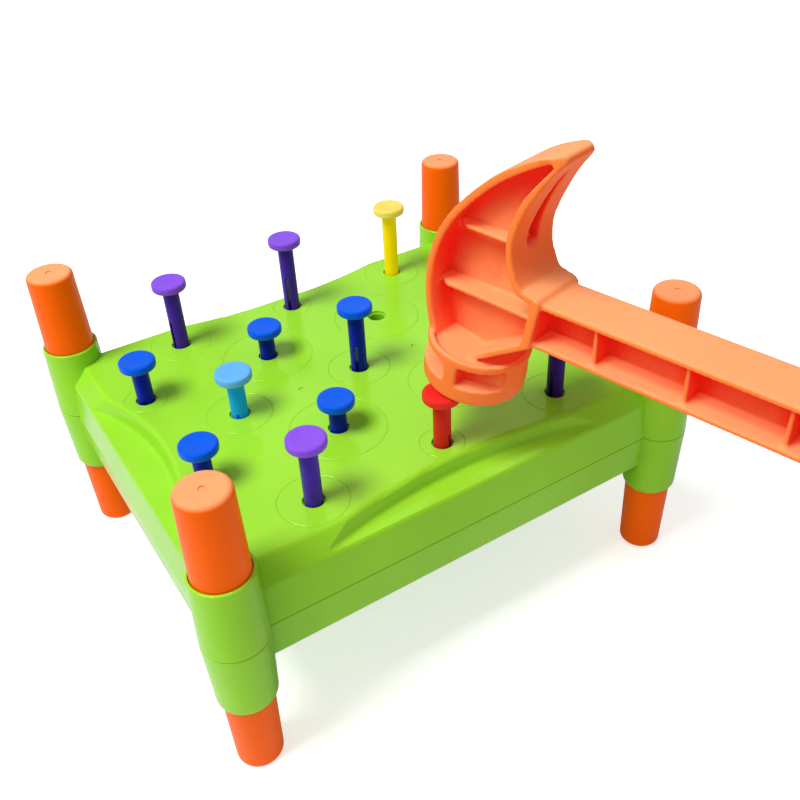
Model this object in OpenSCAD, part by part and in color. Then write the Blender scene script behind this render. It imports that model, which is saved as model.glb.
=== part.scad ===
// Peg pounding bench: a moulded bench on four legs, twelve split nails in a
// staggered pattern of holes, and a claw hammer that rests on the red nail.
// Origin: centre of the bench on the floor. X runs along the bench, Z is up.

/* [Bench] */
// Distance between the leg axes along the bench
leg_pitch_x = 260; // [240:1:290]
// Distance between the leg axes across the bench
leg_pitch_y = 214; // [205:1:230]
// Height of the nail plate above the floor
plate_z = 120; // [117:0.5:126]
// Height of the leaf-shaped ledges
ledge_z = 110.8; // [109.5:0.1:112]
// Height of the plane where the two shells meet
parting_z = 88; // [85:0.5:91]
// Height of the underside of the bottom shell
base_z = 66.5; // [63:0.5:69]
// How far the side walls stand outside the leg axes at the parting plane
wall_out_x = 8.8; // [7:0.1:10]
// How far the front and rear walls stand outside the leg axes there
wall_out_y = 5.3; // [4.5:0.1:7]
// Lean of the walls above the parting plane, degrees
lean_up = 6; // [4:0.5:8]
// Lean of the walls below the parting plane, degrees
lean_down = 3; // [1:0.5:5]
// Wall thickness of the shells
shell_wall = 2.6; // [2:0.1:3]
// Radius along the upper edge of the walls
wall_edge_r = 3.2; // [2.5:0.1:4]
// Chamfers along the line where the two shells meet
seam = 0.4; // [0.3:0.05:0.5]

/* [Plateau and ledges] */
// Width of the sloping band around the plate
chamfer_w = 8.4; // [7:0.1:9]
// Fall of the sloping band
chamfer_drop = 10.5; // [10:0.1:12]
// Radius of the front and rear leaf cuts
leaf_r_long = 300; // [285:0.5:315]
// Depth of the front and rear leaf cuts, from the wall line
leaf_depth_long = 16.3; // [14:0.1:18]
// Radius of the two end leaf cuts
leaf_r_short = 130; // [115:0.5:140]
// Depth of the two end leaf cuts, from the wall line
leaf_depth_short = 20.8; // [18:0.1:23]
// Slope of the step between plate and ledge, degrees
step_slope = 75; // [70:1:80]
// Radius at the top and the foot of the step
step_r = 2.8; // [2:0.1:3.2]

/* [Nail pattern] */
// Half the distance between two neighbouring holes of one row
hole_step_x = 36.7; // [34:0.1:38]
// Distance between two rows of holes
hole_step_y = 41.2; // [38:0.1:41.5]
// Radius of the mouth of a hole
hole_mouth_r = 5.55; // [5.4:0.05:6]
// Depth of the mouth, above the guide bore
hole_mouth_depth = 1.5; // [1:0.1:2]
// Wall of the guide tube below a hole
tube_wall = 1.8; // [1.4:0.1:2.2]
// Length of the guide tubes below the plate
tube_length = 22; // [16:0.5:24]
// Radial play of a nail in its guide bore
nail_play = 0.08; // [0.05:0.01:0.1]
// Radius of the fine rings round the four inner holes
ring_wide_r = 25.5; // [24.5:0.1:25.8]
// Radius of the rings round the middle hole and the outer ones of its rows
ring_middle_r = 17.4; // [16:0.1:18]
// Radius of the rings round all the other holes
ring_small_r = 11.5; // [11:0.1:11.6]
// Width of the groove that forms a ring
ring_w = 0.8; // [0.6:0.1:1]
// Depth of that groove
ring_depth = 0.25; // [0.15:0.05:0.3]
// Radius of the gate marks on the plate and on the posts
gate_r = 1.5; // [1:0.1:2]
// Depth of the gate marks
gate_depth = 0.4; // [0.2:0.1:0.5]

/* [Nails] */
// Radius of a nail's head
head_r = 9.65; // [8:0.05:10]
// Thickness of a nail's head
head_t = 4.8; // [4:0.1:6]
// Rounding of the head's edges
head_edge_r = 1.3; // [0.8:0.1:1.8]
// Depth of the dish in the head
dish_depth = 0.7; // [0.4:0.1:1]
// Radius of a nail's shaft
shaft_r = 4.56; // [4.3:0.01:4.7]
// Length of a nail's shaft
shaft_length = 50; // [42:0.5:50.5]
// Length of the shaft that isn't split
solid_length = 20.2; // [15:0.1:24]
// Width of the split
slot_w = 2; // [1.4:0.1:2.4]
// Chamfer of the nail's tip
tip_chamfer = 0.9; // [0.5:0.1:1.2]

/* [Legs] */
// Radius of a post where it leaves its sleeve
post_r = 13.4; // [12.5:0.1:13.6]
// Height of the posts' tops
post_top_z = 175.3; // [165:0.1:185]
// Radius of a foot where it leaves its sleeve
foot_r = 12.7; // [11.5:0.1:12.8]
// Draft of posts and feet, degrees
leg_draft = 1.25; // [0.5:0.05:1.5]
// Rounding at the ends of the legs
leg_end_r = 2.7; // [2:0.1:3.5]
// Wall thickness of posts and feet
leg_wall = 2.2; // [1.8:0.1:3]
// Radius of the sleeves at the parting plane
sleeve_r = 16.25; // [16:0.05:17]
// Radius of the sleeves under the rounded lip
sleeve_top_r = 15.2; // [15:0.05:15.5]
// Height of the sleeves' tops
sleeve_top_z = 129.4; // [126:0.1:134]
// Height of the sleeves' lower ends
sleeve_base_z = 46.2; // [42:0.1:52]
// Play between a leg and its sleeve
leg_play = 0.45; // [0.3:0.05:0.5]
// Width of the flange that locks a leg between the shells
flange_w = 1.1; // [0.9:0.05:1.2]
// Thickness of that flange
flange_t = 2.4; // [2:0.1:3]

/* [Screws] */
// Radius of the screw shank
screw_r = 1.5; // [1.3:0.05:1.7]
// Radius of the screw head
screw_head_r = 3; // [2.6:0.1:3.2]
// Thickness of the screw head
screw_head_t = 2; // [1.6:0.1:2.4]
// Length of the screw shank
screw_length = 22; // [18:0.5:24]
// Radius of a screw boss
boss_r = 5; // [4.8:0.1:5.5]

/* [Hammer] */
// Width of the handle
grip_w = 26; // [24:0.5:28]
// Width of the head
hammer_w = 30; // [28:0.5:32]
// Distance from the striking axis to the end of the handle
hammer_reach = 205; // [190:1:230]
// Height of the handle's underside above the centre of the striking face
grip_base = 39.2; // [38.5:0.1:40]
// Depth of the handle from top to underside
grip_depth = 22.6; // [21:0.1:24]
// Thickness of the handle's flanges
grip_flange = 2.3; // [2:0.1:2.8]
// Thickness of the ribs and webs
rib_t = 1.9; // [1.4:0.1:2.4]
// How far the ribs stay below the rims
rib_recess = 2.5; // [1.5:0.1:3.5]
// Rim around the pocket of the head
rim_w = 3.5; // [3:0.1:4]
// Thickness of the core between the two pockets of the head
core_t = 11; // [9:0.5:13]
// Radius of the striking drum
drum_r = 25.2; // [24:0.1:26]
// Length of the drum
drum_length = 25; // [24:0.5:27]
// Lean of the drum against the head, degrees
drum_lean = 10.2; // [9:0.1:11]
// Rounding of the striking face
face_edge_r = 2.8; // [2:0.1:3.5]
// Compass direction of the handle, degrees
hammer_heading = -75.5; // [-77:0.5:-74]

/* [Hidden] */
$fn = 96;

// How far cutting shapes run past the faces they cut
overrun = 1;
// Gap between two pieces that rest on each other but move apart
rest_gap = 0.3;

// Colours seen in the photograph
green = "#A9E84F";
orange = "#FA6E0A";
hammer_orange = "#FF8A3C";
purple = "#9A5CF5";
blue = "#1A6CF5";
light_blue = "#6FC0FF";
yellow = "#FFE05A";
red = "#F0302A";
dark_purple = "#2A1440";
steel = "#B9BEC4";

// Wall lines, measured from the centre of the bench at the parting plane
wall_x = leg_pitch_x / 2 + wall_out_x;
wall_y = leg_pitch_y / 2 + wall_out_y;

// Where a leaning wall stands at a height
function wall_at(half, z) =
    half - (z > parting_z ? (z - parting_z) * tan(lean_up) : (parting_z - z) * tan(lean_down));

// Guide bore of the nails and the tubes around it
bore_r = shaft_r + nail_play;
tube_r = bore_r + tube_wall;
tube_base_z = plate_z - shell_wall - tube_length;

// Holes as steps along X and Y from the centre of the plate
hole_places = concat(
    [for (column = [-2, 0, 2], row = [-2, 0, 2]) [column, row]],
    [for (column = [-3, -1, 1, 3], row = [-1, 1]) [column, row]]);

// Screw bosses stand in the middle of the cells of the hole pattern
boss_places = [[-1, 0], [1, 0], [-2, -1], [-2, 1], [2, -1], [2, 1]];

// Gate marks on the plate
gate_places = [[-1, 0], [1, 0]];

// Legs as signs along X and Y
leg_signs = [[-1, 1], [-1, -1], [1, 1], [1, -1]];

function place(steps) = [steps[0] * hole_step_x, steps[1] * hole_step_y];
function leg_place(signs) = [signs[0] * leg_pitch_x / 2, signs[1] * leg_pitch_y / 2];

// Radius of the ring round a hole
function ring_r(steps) =
    abs(steps[0]) == 1 ? ring_wide_r
    : abs(steps[0]) == 3 || (steps[0] == 0 && steps[1] != 0) ? ring_small_r
    : ring_middle_r;

// Unit vector of a plane vector
function unit(v) = v / norm(v);
// Previous and next corner of a closed outline
function before(points, i) = points[(i + len(points) - 1) % len(points)];
function after(points, i) = points[(i + 1) % len(points)];
// Centre of the arc that rounds corner i with radius r
function arc_centre(points, i, r) =
    let (a = unit(before(points, i) - points[i]), b = unit(after(points, i) - points[i]),
        half_angle = acos(a * b) / 2)
    points[i] + unit(a + b) * r / sin(half_angle);
// The two points where that arc meets the straight sides
function tangent_points(points, i, r) =
    let (a = unit(before(points, i) - points[i]), b = unit(after(points, i) - points[i]),
        reach = r / tan(acos(a * b) / 2))
    [points[i] + a * reach, points[i] + b * reach];
// True where corner i of an anticlockwise outline points inwards
function is_hollow(points, i) =
    let (a = points[i] - before(points, i), b = after(points, i) - points[i])
    a[0] * b[1] - a[1] * b[0] < 0;

// Closed outline from its right half, listed upwards, and the radii that belong to it
function both_sides(points) =
    concat(points, [for (i = [len(points) - 1 : -1 : 0]) [-points[i][0], points[i][1]]]);
function both_radii(radii) = concat(radii, [for (i = [len(radii) - 1 : -1 : 0]) radii[i]]);

// Anticlockwise outline whose corners are rounded by the radii given, zero for sharp
module rounded(points, radii) {
    difference() {
        union() {
            polygon([for (i = [0 : len(points) - 1])
                each (radii[i] > 0 ? tangent_points(points, i, radii[i]) : [points[i]])]);
            for (i = [0 : len(points) - 1])
                if (radii[i] > 0 && !is_hollow(points, i))
                    translate(arc_centre(points, i, radii[i])) circle(radii[i]);
        }
        for (i = [0 : len(points) - 1])
            if (radii[i] > 0 && is_hollow(points, i))
                translate(arc_centre(points, i, radii[i])) circle(radii[i]);
    }
}

// Section of the top shell across one pair of walls: half is the wall line,
// inset shrinks the section for the space inside
module top_section(half, inset) {
    edge_z = plate_z - chamfer_drop;
    crown = wall_at(half, edge_z) - chamfer_w;
    slope = atan(chamfer_drop / chamfer_w);
    wall_side = inset / cos(lean_up);
    // Corners moved inwards so that every wall keeps its thickness
    low = wall_at(half, parting_z) - wall_side;
    knee = inset * tan((90 - lean_up - slope) / 2);
    knee_at = [wall_at(half, edge_z + knee) - wall_side, edge_z - knee];
    top = [crown - inset * tan(slope / 2), plate_z - inset];
    if (inset > 0)
        rounded(both_sides([[low, parting_z], knee_at, top]), both_radii([0, 0, 0]));
    else
        rounded(
            both_sides([[low - seam, parting_z], [wall_at(half, parting_z + seam), parting_z + seam],
                knee_at, top]),
            both_radii([0, 0, wall_edge_r, wall_edge_r]));
}

// Section of the bottom shell
module bottom_section(half, inset) {
    high = wall_at(half, parting_z) - inset;
    low = wall_at(half, base_z + inset) - inset;
    if (inset > 0)
        rounded(both_sides([[low, base_z + inset], [high, parting_z]]), both_radii([0, 0]));
    else
        rounded(
            both_sides([[low, base_z], [wall_at(half, parting_z - seam), parting_z - seam],
                [high - seam, parting_z]]),
            both_radii([wall_edge_r / 2, 0, 0]));
}

// Solid that has one section along X and another along Y
module crossed() {
    intersection() {
        rotate([90, 0, 90]) linear_extrude(2 * wall_x + 2 * overrun, center = true) children(0);
        rotate([90, 0, 0]) linear_extrude(2 * wall_y + 2 * overrun, center = true) children(1);
    }
}

// Stands its child at each of the four sides, outwards along +X or +Y
module each_leaf(long_side) {
    for (side = [-1, 1])
        if (long_side)
            translate([0, side * (wall_y - leaf_depth_long + leaf_r_long), 0]) children();
        else
            translate([side * (wall_x - leaf_depth_short + leaf_r_short), 0, 0]) children();
}

// Half section of a leaf cut of radius r at half height of the step
module leaf_cut(r) {
    rise = plate_z - ledge_z;
    run = rise / tan(step_slope);
    foot = [r - run / 2, ledge_z];
    fold = [r + run / 2, plate_z];
    outline = [[0, ledge_z], foot, fold, [fold[0] + step_r, plate_z], [fold[0] + step_r, plate_z + step_r],
        [0, plate_z + step_r]];
    fold_end = fold[0] + step_r / tan(90 - step_slope / 2);
    rotate_extrude($fn = 360) {
        intersection() {
            rounded(outline, [0, step_r, step_r, 0, 0, 0]);
            square([fold_end, plate_z + step_r]);
        }
    }
}

// Space above the ledges that a leaf cut takes from the hollow inside as well
module leaf_skin(r) {
    rise = plate_z - ledge_z;
    translate([0, 0, ledge_z - shell_wall])
        cylinder(h = rise + 2 * shell_wall, r = r + rise / tan(step_slope) / 2 + shell_wall, $fn = 360);
}

// Sleeve around a leg, above the parting plane
module sleeve_upper() {
    lip_r = (sleeve_top_r - post_r - leg_play) / 2;
    rotate_extrude() {
        polygon([[0, parting_z], [sleeve_r - seam, parting_z], [sleeve_r, parting_z + seam],
            [sleeve_top_r, sleeve_top_z - lip_r], [0, sleeve_top_z - lip_r]]);
        translate([0, parting_z]) square([sleeve_top_r - lip_r, sleeve_top_z - parting_z]);
        translate([sleeve_top_r - lip_r, sleeve_top_z - lip_r]) circle(lip_r);
    }
}

// Sleeve around a leg, below the parting plane, narrowing towards its end
module sleeve_lower() {
    end_r = leg_end_r;
    low_r = sleeve_r - end_r / 2;
    mouth_r = foot_r + leg_play;
    rotate_extrude()
        rounded(
            [[0, sleeve_base_z], [mouth_r, sleeve_base_z], [low_r, sleeve_base_z + end_r],
                [sleeve_r, parting_z - seam], [sleeve_r - seam, parting_z], [0, parting_z]],
            [0, 0, end_r, 0, 0, 0]);
}

// Guide tube below each hole
module tubes() {
    for (steps = hole_places)
        translate([place(steps)[0], place(steps)[1], tube_base_z])
            cylinder(h = plate_z - shell_wall / 2 - tube_base_z, r = tube_r);
}

// Mouth and bore of each hole
module nail_holes() {
    for (steps = hole_places)
        translate([place(steps)[0], place(steps)[1], 0]) {
            translate([0, 0, tube_base_z - overrun])
                cylinder(h = plate_z - tube_base_z + 2 * overrun, r = bore_r);
            translate([0, 0, plate_z - hole_mouth_depth])
                cylinder(h = hole_mouth_depth + overrun, r = hole_mouth_r);
        }
}

// Fine ring round each hole, a shallow groove with sloping sides
module ring_grooves() {
    for (steps = hole_places)
        translate([place(steps)[0], place(steps)[1], 0])
            rotate_extrude()
                polygon([[ring_r(steps) - ring_w, plate_z + ring_depth], [ring_r(steps), plate_z - ring_depth],
                    [ring_r(steps) + ring_w, plate_z + ring_depth]]);
}

// Gate marks on the plate
module gate_marks() {
    for (steps = gate_places)
        translate([place(steps)[0], place(steps)[1], plate_z - gate_depth])
            cylinder(h = gate_depth + overrun, r = gate_r);
}

// Shape of the top shell before it is hollowed
module top_form() {
    difference() {
        crossed() {
            top_section(wall_y, 0);
            top_section(wall_x, 0);
        }
        each_leaf(true) leaf_cut(leaf_r_long);
        each_leaf(false) leaf_cut(leaf_r_short);
    }
}

// Hollow of the top shell, which follows the plate and the ledges
module top_hollow() {
    difference() {
        translate([0, 0, -overrun / 10])
            crossed() {
                top_section(wall_y, shell_wall);
                top_section(wall_x, shell_wall);
            }
        each_leaf(true) leaf_skin(leaf_r_long);
        each_leaf(false) leaf_skin(leaf_r_short);
        for (signs = leg_signs)
            translate([leg_place(signs)[0], leg_place(signs)[1], 0]) sleeve_upper();
        tubes();
        for (steps = boss_places)
            translate([place(steps)[0], place(steps)[1], parting_z - overrun])
                cylinder(h = plate_z - parting_z, r = boss_r);
    }
}

// Space of a post inside the upper sleeve, with the room for its flange
module post_space() {
    translate([0, 0, parting_z - overrun])
        cylinder(h = flange_t + leg_play + overrun, r = post_r + flange_w + leg_play);
    translate([0, 0, parting_z])
        cylinder(h = sleeve_top_z - parting_z + overrun, r = post_r + leg_play);
}

module top_shell() {
    color(green)
        difference() {
            union() {
                difference() {
                    top_form();
                    top_hollow();
                }
                for (signs = leg_signs)
                    translate([leg_place(signs)[0], leg_place(signs)[1], 0]) sleeve_upper();
            }
            for (signs = leg_signs)
                translate([leg_place(signs)[0], leg_place(signs)[1], 0]) post_space();
            nail_holes();
            ring_grooves();
            gate_marks();
            for (steps = boss_places)
                translate([place(steps)[0], place(steps)[1], parting_z - overrun])
                    cylinder(h = screw_length / 2 + 2 * overrun, r = screw_r);
        }
}

// Space of a foot inside the lower sleeve, with the room for its flange
module foot_space() {
    translate([0, 0, sleeve_base_z - overrun])
        cylinder(h = parting_z - sleeve_base_z + overrun, r = foot_r + leg_play);
    translate([0, 0, parting_z - flange_t - leg_play])
        cylinder(h = flange_t + leg_play + overrun, r = foot_r + flange_w + leg_play);
}

// Height of the screw heads' seat in the bosses of the bottom shell
seat_z = parting_z - screw_length / 2;

module bottom_shell() {
    color(green)
        difference() {
            union() {
                difference() {
                    crossed() {
                        bottom_section(wall_y, 0);
                        bottom_section(wall_x, 0);
                    }
                    difference() {
                        translate([0, 0, overrun / 10])
                            crossed() {
                                bottom_section(wall_y, shell_wall);
                                bottom_section(wall_x, shell_wall);
                            }
                        for (steps = boss_places)
                            translate([place(steps)[0], place(steps)[1], base_z])
                                cylinder(h = parting_z - base_z + overrun, r = boss_r);
                        for (signs = leg_signs)
                            translate([leg_place(signs)[0], leg_place(signs)[1], 0]) sleeve_lower();
                    }
                }
                for (signs = leg_signs)
                    translate([leg_place(signs)[0], leg_place(signs)[1], 0]) sleeve_lower();
            }
            for (signs = leg_signs)
                translate([leg_place(signs)[0], leg_place(signs)[1], 0]) foot_space();
            for (steps = boss_places)
                translate([place(steps)[0], place(steps)[1], 0]) {
                    translate([0, 0, base_z - overrun])
                        cylinder(h = seat_z - base_z + overrun, r = screw_head_r + leg_play);
                    translate([0, 0, base_z])
                        cylinder(h = parting_z - base_z + overrun, r = screw_r + nail_play);
                }
        }
}

// One screw, its head below the seat in the bottom shell
module screw() {
    translate([0, 0, seat_z - screw_head_t]) cylinder(h = screw_head_t, r = screw_head_r);
    translate([0, 0, seat_z - overrun / 10]) cylinder(h = screw_length, r = screw_r);
}

module shell_screws() {
    color(steel)
        for (steps = boss_places)
            translate([place(steps)[0], place(steps)[1], 0]) screw();
}

// Post: a cup, closed at its rounded top, with a flange at its open end
module post(signs) {
    height = post_top_z - sleeve_top_z;
    tip_r = post_r - height * tan(leg_draft);
    color(orange)
        translate([leg_place(signs)[0], leg_place(signs)[1], 0])
            difference() {
                rotate_extrude() {
                    difference() {
                        rounded(
                            [[0, parting_z], [post_r, parting_z], [post_r, sleeve_top_z], [tip_r, post_top_z],
                                [0, post_top_z]],
                            [0, 0, 0, leg_end_r, 0]);
                        translate([0, post_top_z - gate_depth]) square([gate_r, gate_depth + overrun]);
                    }
                    translate([0, parting_z]) square([post_r + flange_w, flange_t]);
                }
                translate([0, 0, parting_z - overrun])
                    cylinder(h = post_top_z - leg_wall - parting_z + overrun, r = tip_r - leg_wall);
            }
}

// Foot: a cup, closed at its rounded lower end, with a flange at its open end
module foot(signs) {
    tip_r = foot_r - sleeve_base_z * tan(leg_draft);
    color(orange)
        translate([leg_place(signs)[0], leg_place(signs)[1], 0])
            difference() {
                rotate_extrude() {
                    rounded(
                        [[0, 0], [tip_r, 0], [foot_r, sleeve_base_z], [foot_r, parting_z], [0, parting_z]],
                        [0, leg_end_r, 0, 0, 0]);
                    translate([0, parting_z - flange_t]) square([foot_r + flange_w, flange_t]);
                }
                translate([0, 0, leg_wall])
                    cylinder(h = parting_z - leg_wall + overrun, r = tip_r - leg_wall);
            }
}

// One nail, its head's underside at z zero, with the split turned by slot_angle and
// with the share of its shaft above the plate that raised_share gives
module nail(tint, steps, raised_share, slot_angle) {
    dish_r = head_r - 2 * head_edge_r;
    ball_r = (dish_r * dish_r + dish_depth * dish_depth) / (2 * dish_depth);
    color(tint)
        translate([place(steps)[0], place(steps)[1], plate_z + shaft_length * raised_share])
            rotate(slot_angle)
                difference() {
                    rotate_extrude() {
                        difference() {
                            rounded(
                                [[0, 0], [head_r, 0], [head_r, head_t], [0, head_t]],
                                [0, head_edge_r, head_edge_r, 0]);
                            translate([0, head_t - dish_depth + ball_r]) circle(ball_r, $fn = 360);
                        }
                        polygon([[0, -shaft_length], [shaft_r - tip_chamfer, -shaft_length],
                            [shaft_r, tip_chamfer - shaft_length], [shaft_r, 0], [0, 0]]);
                    }
                    translate([-shaft_r - overrun, -slot_w / 2, -shaft_length - overrun])
                        cube([2 * (shaft_r + overrun), slot_w, shaft_length - solid_length + overrun]);
                }
}

// How much of each nail's shaft stands above the plate
raised_purple_rear_left_share = 0.75;
raised_purple_rear_middle_share = 0.847;
raised_yellow_share = 0.843;
raised_blue_rear_left_share = 0.427;
raised_blue_rear_inner_share = 0.307;
raised_light_blue_share = 0.445;
raised_blue_middle_share = 0.725;
raised_blue_front_left_share = 0.395;
raised_blue_front_inner_share = 0.291;
raised_purple_front_left_share = 0.663;
raised_red_share = 0.541;
raised_dark_purple_share = 0.704;

module nail_purple_rear_left() { nail(purple, [-2, 2], raised_purple_rear_left_share, 20); }
module nail_purple_rear_middle() { nail(purple, [0, 2], raised_purple_rear_middle_share, 46.5); }
module nail_yellow() { nail(yellow, [2, 2], raised_yellow_share, 150); }
module nail_blue_rear_left() { nail(blue, [-3, 1], raised_blue_rear_left_share, 60); }
module nail_blue_rear_inner() { nail(blue, [-1, 1], raised_blue_rear_inner_share, 120); }
module nail_light_blue() { nail(light_blue, [-2, 0], raised_light_blue_share, 55); }
module nail_blue_middle() { nail(blue, [0, 0], raised_blue_middle_share, 47); }
module nail_blue_front_left() { nail(blue, [-3, -1], raised_blue_front_left_share, 100); }
module nail_blue_front_inner() { nail(blue, [-1, -1], raised_blue_front_inner_share, 140); }
module nail_purple_front_left() { nail(purple, [-2, -2], raised_purple_front_left_share, 150); }
module nail_red() { nail(red, [0, -2], raised_red_share, 111); }
module nail_dark_purple() { nail(dark_purple, [2, -2], raised_dark_purple_share, 20); }

module post_rear_left() { post(leg_signs[0]); }
module post_front_left() { post(leg_signs[1]); }
module post_rear_right() { post(leg_signs[2]); }
module post_front_right() { post(leg_signs[3]); }
module foot_rear_left() { foot(leg_signs[0]); }
module foot_front_left() { foot(leg_signs[1]); }
module foot_rear_right() { foot(leg_signs[2]); }
module foot_front_right() { foot(leg_signs[3]); }

// The hammer's own frame: X along the handle, Z up, the origin at the centre of the
// striking face. Its side outline lies in the XZ plane.

// Outer curve of the head: a wide arc behind the claw between two tighter ones, the
// lower round the back of the head and the upper along the claw's end
back_wide_r = 180;
back_tight_r = 71.4;
back_centre = [53.85, 46.2];
// Direction from the centres to the point where the two arcs meet, degrees
back_meet = 137.2;
back_wide_centre = back_centre - (back_wide_r - back_tight_r) * [cos(back_meet), sin(back_meet)];
claw_back_r = 80;
claw_back_meet = 129.8;
claw_back_centre =
    back_wide_centre + (back_wide_r - claw_back_r) * [cos(claw_back_meet), sin(claw_back_meet)];
// Hollow curve of the claw: a wide arc near the tip and a tighter one at the root
throat_wide_r = 97.5;
throat_tight_r = 28.5;
throat_centre = [59.8, 82.3];
throat_meet = 160;
throat_wide_centre = throat_centre - (throat_wide_r - throat_tight_r) * [cos(throat_meet), sin(throat_meet)];
// Rounded tip of the claw, which touches the outer and the hollow curve
claw_tip_r = 2.2;
claw_tip_angle = 104.7;
claw_tip = claw_back_centre + (claw_back_r - claw_tip_r) * [cos(claw_tip_angle), sin(claw_tip_angle)];
throat_tip_angle = atan2(claw_tip[1] - throat_wide_centre[1], claw_tip[0] - throat_wide_centre[0]);
// The claw seen square to its end, which rises by claw_rise degrees: it narrows between
// two distances from the origin and ends in a tongue with rounded corners
claw_rise = 33;
claw_narrows_from = 87.5;
claw_narrows_to = 100;
claw_end = 113;
claw_end_half = 13.2;
claw_corner_r = 9.5;
// Heights of the claw above its own slanting line
claw_low = 62;
claw_high = 95;
// Saddle between the claw's root and the handle, and its fall in degrees
saddle = [38, 65.5];
saddle_fall = 13;
// Right side of the wall between head and handle, at the handle's top and underside
neck_top = 46.5;
neck_base = 42;
// Thickness of that wall
neck_t = 4.5;
// Chamfer at the right end of the saddle: a point of its line and the line's direction
shoulder = [44.9, 63.9];
shoulder_slope = -50;
// Mark of an ejector pin on the web of the head
ejector_place = [15.9, 66.5];
ejector_r = 3.4;
ejector_t = 0.3;
// Start of the head's slanting underside, and its slope in degrees
heel = [18.2, 24];
heel_slope = 32;
// Tops of the two ribs in the head's pockets
head_rib_z = [57, 88];
// Middle of the ribs along the handle
grip_rib_x = [71.9, 113.5, 154.8];
// Depth of the handle's front and rear pockets
grip_pocket = 17;
grip_rear_pocket = 6.5;
// Rounding of the handle's end
grip_end_r = 9;
// Groove in the claw: its width at the root, its lower and upper end, its depth
groove_w = 7.6;
groove_low = 80;
groove_high = 119;
groove_depth = 12;
groove_tip_half = 0.5;
// Pockets of the drum: lower and upper edge, and their sides from the drum's axis
drum_pocket_low = 9.8;
drum_pocket_high = 20.8;
drum_pocket_sides = [[-22.5, -1], [5.6, 23.4]];
// Recess in the drum's top, inside a collar
drum_recess = 2.6;
drum_collar = 3;
// Hole of the red nail, on which the hammer rests
red_place = place([0, -2]);
// Centre of the striking face, seen from the red nail
face_from_nail = [20.5, 1.7];
// Large enough to reach past the whole hammer
cover = 4 * hammer_reach;

grip_top = grip_base + grip_depth;
neck_slope = 90 - atan((neck_top - neck_base) / grip_depth);

// Half planes to the right and the left of the line from a point in a direction
module right_of(point, direction) {
    translate(point) rotate(direction) translate([-cover / 2, -cover]) square(cover);
}
module left_of(point, direction) {
    translate(point) rotate(direction) translate([-cover / 2, 0]) square(cover);
}

// Region inside two arcs that meet in a direction, with inset added to both radii
module arcs(wide_centre, wide_r, tight_centre, tight_r, meet, inset) {
    intersection() {
        translate(wide_centre) circle(wide_r + inset, $fn = 360);
        right_of(tight_centre, meet);
    }
    intersection() {
        translate(tight_centre) circle(tight_r + inset, $fn = 240);
        left_of(tight_centre, meet);
    }
}

// Open space between claw and handle, widened by inset
module throat(inset) {
    intersection() {
        union() {
            arcs(throat_wide_centre, throat_wide_r, throat_centre, throat_tight_r, throat_meet, inset);
            translate([throat_centre[0], 0]) square([hammer_reach, throat_centre[1]]);
        }
        left_of(saddle - [0, inset], -saddle_fall);
    }
}

// Region inside the outer curve of the head, drawn in by inset
module head_back(inset) {
    intersection() {
        arcs(back_wide_centre, back_wide_r, back_centre, back_tight_r, back_meet, -inset);
        union() {
            translate(claw_back_centre) circle(claw_back_r - inset, $fn = 360);
            left_of(back_wide_centre, claw_back_meet);
        }
    }
}

// Side outline of the head with every edge drawn in by inset
module head_outline(inset) {
    base = drum_length - drum_recess;
    difference() {
        head_back(inset);
        throat(inset);
        // Past the tip of the claw
        intersection() {
            right_of(claw_tip, claw_tip_angle);
            right_of(claw_tip, throat_tip_angle);
        }
        // Right of the neck
        intersection() {
            union() {
                right_of([neck_top - inset * neck_t / rim_w, grip_top], neck_slope);
                left_of(shoulder - inset * unit([1, 1]), shoulder_slope);
            }
            right_of(saddle + [0, rim_w], 0);
        }
        // Below the slanting underside and inside the drum
        right_of(heel + [0, inset], heel_slope);
        right_of(base * [sin(drum_lean), cos(drum_lean)], -drum_lean);
    }
    if (inset == 0) translate(claw_tip) circle(claw_tip_r);
}

// Side outline of the pockets in the head, divided by the ribs
module head_pockets() {
    difference() {
        head_outline(rim_w);
        for (rib_z = head_rib_z)
            translate([-cover / 2, rib_z - rib_t]) square([cover, rib_t]);
    }
}

// Side outline of the handle with every edge drawn in by inset
module grip_outline(inset) {
    rounded(
        [[neck_base - neck_t, grip_base + inset], [hammer_reach - inset, grip_base + inset],
            [hammer_reach - inset, grip_top - inset], [neck_base - neck_t, grip_top - inset]],
        [0, grip_end_r - inset, grip_end_r - inset, 0]);
}

// Side outline of the handle's hollow, and of its pockets between the cross ribs
module grip_hollow() {
    difference() {
        grip_outline(grip_flange);
        left_of([neck_top, grip_top], neck_slope);
    }
}
module grip_pockets() {
    difference() {
        grip_hollow();
        for (rib_x = grip_rib_x)
            translate([rib_x - rib_t / 2, 0]) square([rib_t, cover]);
    }
}

// Lays a side outline across the hammer from one width to another
module across(from, to) {
    translate([0, to, 0]) rotate([90, 0, 0]) linear_extrude(to - from) children();
}

// Striking drum, leaning against the head, with a recess in its top
module drum() {
    rotate([0, drum_lean, 0])
        difference() {
            rotate_extrude()
                rounded([[0, 0], [drum_r, 0], [drum_r, drum_length], [0, drum_length]],
                    [0, face_edge_r, rib_t / 2, 0]);
            translate([0, 0, drum_length - drum_recess])
                cylinder(h = drum_recess + overrun, r = drum_r - drum_collar);
        }
}

// Pockets in the front and rear of the drum
module drum_pockets() {
    rotate([0, drum_lean, 0])
        for (sides = drum_pocket_sides, side = [-1, 1])
            translate([sides[0], side > 0 ? core_t / 2 : -drum_r - overrun, drum_pocket_low])
                cube([sides[1] - sides[0], drum_r + overrun - core_t / 2, drum_pocket_high - drum_pocket_low]);
}

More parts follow.
